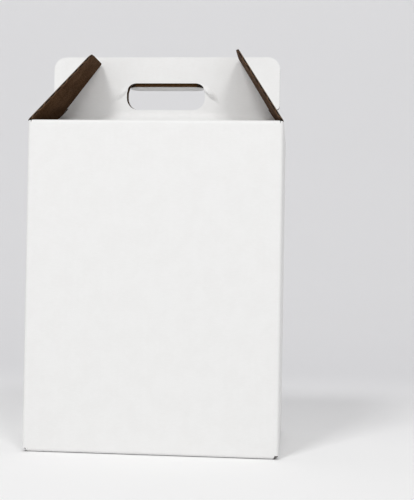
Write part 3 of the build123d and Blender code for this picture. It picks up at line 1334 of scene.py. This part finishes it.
@dataclass
class Studio:
    """Pale floor and backdrop, soft lights and the camera.

    Attributes:
        eye: Where the camera is.
        yaw: Angle that it looks to the right of +Y.
        pitch: Angle that it looks up.
        roll: Angle that it turns about its own line.
        lens: Focal length, in millimetres.
        sensor: Length of the picture's long side on the sensor, in millimetres.
        floor: Colour of the floor.
        far: Colour of the floor far away.
        backdrop: Colour of the sheet behind.
        air: Colour of the light from all round.
        sky: Brightness of that light.
        drop: How far the floor lies under the carton.
        reach: How far the floor goes to the sides and the front.
        behind: How far behind the carton's middle the backdrop rises.
        rise: Height of the backdrop.
        sweep: Radius between the floor and the backdrop.
        sweep_step: Longest step between the sheet's edge loops.
        far_span: Distances between which the floor takes its far colour.
        back_span: Depths between which the sheet takes the backdrop's colour.
        rough: Roughness of the sheet.
        shine: Specular level of the sheet.
    """

    eye: Place = (0.1569, -1.1825, 0.2072)
    yaw: float = math.radians(-5.110)
    pitch: float = math.radians(0.778)
    roll: float = math.radians(0.959)
    lens: float = 73.3
    sensor: float = 36.0
    floor: Colour = (0.95, 0.95, 0.95, 1)
    far: Colour = (1.0, 1.0, 1.0, 1)
    backdrop: Colour = (0.82, 0.82, 0.835, 1)
    air: Colour = (1.0, 0.995, 0.99, 1)
    sky: float = 0.50
    drop: float = 0.0005
    reach: float = 60.0
    behind: float = 1.5
    rise: float = 8.0
    sweep: float = 0.7
    sweep_step: float = 2.0
    far_span: tuple[float, float] = (1.5, 5.0)
    back_span: tuple[float, float] = (-0.15, 0.9)
    rough: float = 0.9
    shine: float = 0.1

    def build(self) -> None:
        """Makes the floor, the lights and the camera."""
        self.build_floor()
        self.build_world()
        for softbox in SOFTBOXES:
            softbox.build()
        self.build_camera()

    def build_floor(self) -> None:
        """Makes the floor and the backdrop as one swept sheet."""
        corners = [(-self.reach, -self.drop), (self.behind, -self.drop), (self.behind, self.rise)]
        line = FoldLine(corners, [self.sweep])
        sheet = bmesh.new()
        places = [(-self.reach, *line.at(mark)[0]) for mark in line.stations(self.sweep_step)]
        marks = [sheet.verts.new(place) for place in places]
        edges = [sheet.edges.new(pair) for pair in zip(marks, marks[1:])]
        made = bmesh.ops.extrude_edge_only(sheet, edges=edges)["geom"]
        across = [item for item in made if isinstance(item, bmesh.types.BMVert)]
        bmesh.ops.translate(sheet, verts=across, vec=(2 * self.reach, 0.0, 0.0))
        bmesh.ops.recalc_face_normals(sheet, faces=sheet.faces)
        bmesh.ops.reverse_faces(sheet, faces=sheet.faces)
        mesh = bpy.data.meshes.new("studio_floor")
        sheet.to_mesh(mesh)
        sheet.free()
        mesh.shade_smooth()
        mesh.materials.append(self.build_paper())
        floor = bpy.data.objects.new("studio_floor", mesh)
        bpy.context.collection.objects.link(floor)

    def build_paper(self) -> bpy.types.Material:
        """Makes the material of the floor and the backdrop, clear from behind.

        Returns:
            The material.
        """
        material, graph = bare_material("studio_paper")
        place = graph.node("ShaderNodeTexCoord").outputs["Object"]
        depth = graph.node("ShaderNodeSeparateXYZ", {0: place}).outputs[1]
        away = graph.node("ShaderNodeVectorMath", {0: place}, operation="LENGTH").outputs["Value"]
        paper = graph.mix(graph.ramp(away, *self.far_span), self.floor, self.far)
        colour = graph.mix(graph.ramp(depth, *self.back_span), paper, self.backdrop)
        inputs = {"Base Color": colour, "Roughness": self.rough, "Specular IOR Level": self.shine}
        shader = graph.node("ShaderNodeBsdfPrincipled", inputs).outputs[0]
        behind = graph.node("ShaderNodeNewGeometry").outputs["Backfacing"]
        clear = graph.node("ShaderNodeBsdfTransparent").outputs[0]
        faced = graph.node("ShaderNodeMixShader", {0: behind, 1: shader, 2: clear}).outputs[0]
        graph.node("ShaderNodeOutputMaterial", {"Surface": faced})
        return material

    def build_world(self) -> None:
        """Makes the even light from all round."""
        world = bpy.data.worlds.new("studio_air")
        bpy.context.scene.world = world
        world.use_nodes = True
        air = world.node_tree.nodes["Background"]
        air.inputs["Color"].default_value = self.air
        air.inputs["Strength"].default_value = self.sky

    def build_camera(self) -> None:
        """Makes the camera."""
        ahead = Vector((
            math.sin(self.yaw) * math.cos(self.pitch),
            math.cos(self.yaw) * math.cos(self.pitch),
            math.sin(self.pitch),
        ))
        level = Vector((math.cos(self.yaw), -math.sin(self.yaw), 0.0))
        above = level.cross(ahead)
        right = level * math.cos(self.roll) + above * math.sin(self.roll)
        up = above * math.cos(self.roll) - level * math.sin(self.roll)
        data = bpy.data.cameras.new("photo_camera")
        data.sensor_width = self.sensor
        data.lens = self.lens
        camera = bpy.data.objects.new("photo_camera", data)
        turn = Matrix((right, up, -ahead)).transposed().to_4x4()
        camera.matrix_world = Matrix.Translation(self.eye) @ turn
        bpy.context.collection.objects.link(camera)
        bpy.context.scene.camera = camera


WHITE = LinerFinish(
    name="white_liner",
    pale=(0.872, 0.872, 0.868, 1),
    deep=(0.848, 0.846, 0.840, 1),
    rub=(0.66, 0.64, 0.60, 1),
    fibre_share=0.45,
    rough=(0.48, 0.62),
    shine=0.35,
    flute_height=0.00003,
    fibre_height=0.00002,
    scuffed=0.05,
)
# Kraft liner: the board's brown, set darker than bare kraft as painted shade for the shaded insides of the
# flaps and the carton.
SHADED_KRAFT = LinerFinish(
    name="kraft_liner_with_shade",
    pale=(0.088, 0.042, 0.016, 1),
    deep=(0.044, 0.019, 0.006, 1),
    rub=(0.17, 0.098, 0.054, 1),
    fibre_share=0.55,
    rough=(0.72, 0.9),
    shine=0.08,
    flute_height=0.00008,
    fibre_height=0.00005,
    scuffed=0.25,
)
# Edge colours darker than the bare paper: the board's own edge colours plus painted shade for cut edges in
# slits and gaps.
WHITE_EDGE = EdgeFinish(
    name="white_board_edge",
    outer=(0.50, 0.47, 0.43, 1),
    inner=(0.090, 0.046, 0.023, 1),
    medium=(0.150, 0.085, 0.046, 1),
    # Painted shade inside the flutes.
    flute_shade=(0.012, 0.007, 0.004, 1),
)
# Edge colours darker than the bare paper: the board's own edge colours plus painted shade for cut edges in
# slits and gaps.
KRAFT_EDGE = EdgeFinish(
    name="kraft_board_edge",
    outer=(0.110, 0.058, 0.030, 1),
    inner=(0.110, 0.058, 0.030, 1),
    medium=(0.150, 0.085, 0.046, 1),
    # Painted shade inside the flutes.
    flute_shade=(0.012, 0.007, 0.004, 1),
)


def show(piece: bpy.types.Object, body: str, slot: str, *nodes: str) -> None:
    """Gives a piece its body and hides the nodes that it stands for.

    Args:
        piece: The piece.
        body: The body that it rides on.
        slot: The record's material slot, which is not used.
        nodes: The nodes that it replaces.
    """
    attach(piece, body)
    if nodes:
        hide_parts(*nodes)
    LOG.info("%s: %d faces on %s", piece.name, len(piece.data.polygons), body)


def main() -> None:
    """Builds the studio and the carrier."""
    logging.basicConfig(level=logging.INFO, format="%(name)s: %(message)s")
    bpy.context.scene.view_settings.view_transform = "Standard"
    Studio().build()
    effects = BoardEffects()
    # The kraft finish's colour holds painted shade as well as the brown of the board.
    white, kraft = WHITE.build(effects), SHADED_KRAFT.build(effects)
    faced = (white, kraft, WHITE_EDGE.build(effects))
    plain = (kraft, kraft, KRAFT_EDGE.build(effects))

    low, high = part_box("carton")
    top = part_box("front_handle_panel")[1]
    carton = Carton(high[0] - low[0], high[1] - low[1], top[2], high[2], LEANS)
    show(carton.build(faced), "carton", "white_board", "carton", "front_handle_panel", "back_handle_panel")
    for name, wall in (("front_hand_tab", Wall.FRONT), ("back_hand_tab", Wall.BACK)):
        show(HandTab(name, wall, carton).build(faced), "carton", "white_board")

    hinge = (carton.width / 2, carton.wall)
    for side, lean in LEANS.items():
        word = side.name.lower()
        flap = SideFlap(f"{word}_flap_sheet", side, hinge, lean)
        show(flap.build(faced), f"{word}_flap", "white_board", f"{word}_side_flap")
        crease = FlapCrease(f"{word}_flap_crease", flap)
        strip = crease.build(faced)
        start, end = crease.ends()
        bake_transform(strip)
        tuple(start)
        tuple(end)
        LOG.info("%s: %d faces across the fold", strip.name, len(strip.data.polygons))

    dividers = Dividers(foot=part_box("long_divider")[0][2])
    show(dividers.build_long("long_divider_sheet", plain), "carton", "brown_board", "long_divider")
    for side in Side:
        word = side.name.lower()
        sheet = dividers.build_cross(f"{word}_divider_sheet", side, plain)
        show(sheet, "carton", "brown_board", f"{word}_cross_divider")


if __name__ == "__main__":
    main()
